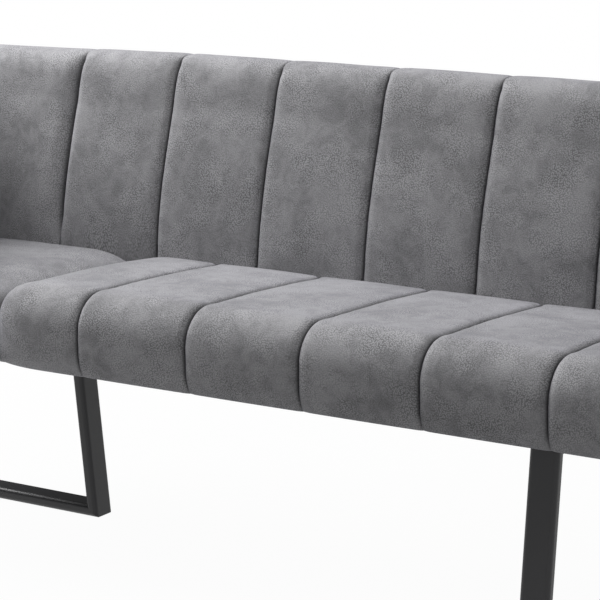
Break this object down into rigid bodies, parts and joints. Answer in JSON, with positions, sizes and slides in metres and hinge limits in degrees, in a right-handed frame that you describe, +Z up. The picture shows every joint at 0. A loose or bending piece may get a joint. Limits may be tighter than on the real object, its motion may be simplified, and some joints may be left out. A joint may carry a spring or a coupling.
{
  "type": "upholstered corner bench",
  "caption": "Upholstered corner dining bench with a channelled main seat and back, a plain mitred corner module and black steel sled legs.",
  "frame": {"origin": "on the floor, at the centre of the whole bench's footprint", "axes": "+X along the main bench away from the corner, +Y from the front of the seats to the back, +Z up"},
  "size_m": [1.8462, 0.5892, 0.8378],
  "materials": {
    "upholstery": "grey suede-like microfibre with lighter and darker mottling",
    "back_cloth": "grey suede-like microfibre, stretched flat over the rear panel",
    "black_steel": "satin black powder coat",
    "timber": "planed, unfinished",
    "plywood": "sanded plywood",
    "webbing": "woven elastic webbing",
    "dust_cloth": "black non-woven dust cloth",
    "zinc_steel": "zinc plated",
    "glide_plastic": "moulded"
  },
  "bodies": {
    "root": {"connector_screws": "zinc_steel", "corner_bracket_screws": "zinc_steel", "corner_brackets": "black_steel", "corner_cross_rails": "timber", "corner_dust_cover": "dust_cloth", "corner_end_rails": "timber", "corner_front_rail": "timber", "corner_rear_base_cloth": "dust_cloth", "corner_rear_board": "plywood", "corner_rear_cover": "back_cloth", "corner_rear_cushion": "upholstery", "corner_rear_posts": "timber", "corner_rear_rail": "timber", "corner_rear_top_rail": "timber", "corner_seat_cushion": "upholstery", "corner_side_base_cloth": "dust_cloth", "corner_side_board": "plywood", "corner_side_cover": "back_cloth", "corner_side_cushion": "upholstery", "corner_side_posts": "timber", "corner_side_top_rail": "timber", "corner_sled_front_leg": "black_steel", "corner_sled_glides": "glide_plastic", "corner_sled_plates": "black_steel", "corner_sled_rear_leg": "black_steel", "corner_sled_runner": "black_steel", "corner_sled_screws": "zinc_steel", "corner_sled_top_bar": "black_steel", "corner_webbing": "webbing", "main_back_base_cloth": "dust_cloth", "main_back_board": "plywood", "main_back_cover": "back_cloth", "main_back_cushion": "upholstery", "main_back_posts": "timber", "main_back_top_rail": "timber", "main_bracket_screws": "zinc_steel", "main_brackets": "black_steel", "main_cross_rails": "timber", "main_dust_cover": "dust_cloth", "main_end_rails": "timber", "main_front_rail": "timber", "main_rear_rail": "timber", "main_seat_cushion": "upholstery", "main_sled_front_leg": "black_steel", "main_sled_glides": "glide_plastic", "main_sled_plates": "black_steel", "main_sled_rear_leg": "black_steel", "main_sled_runner": "black_steel", "main_sled_screws": "zinc_steel", "main_sled_top_bar": "black_steel", "main_webbing": "webbing", "module_connectors": "black_steel"}
  },
  "joints": []
}
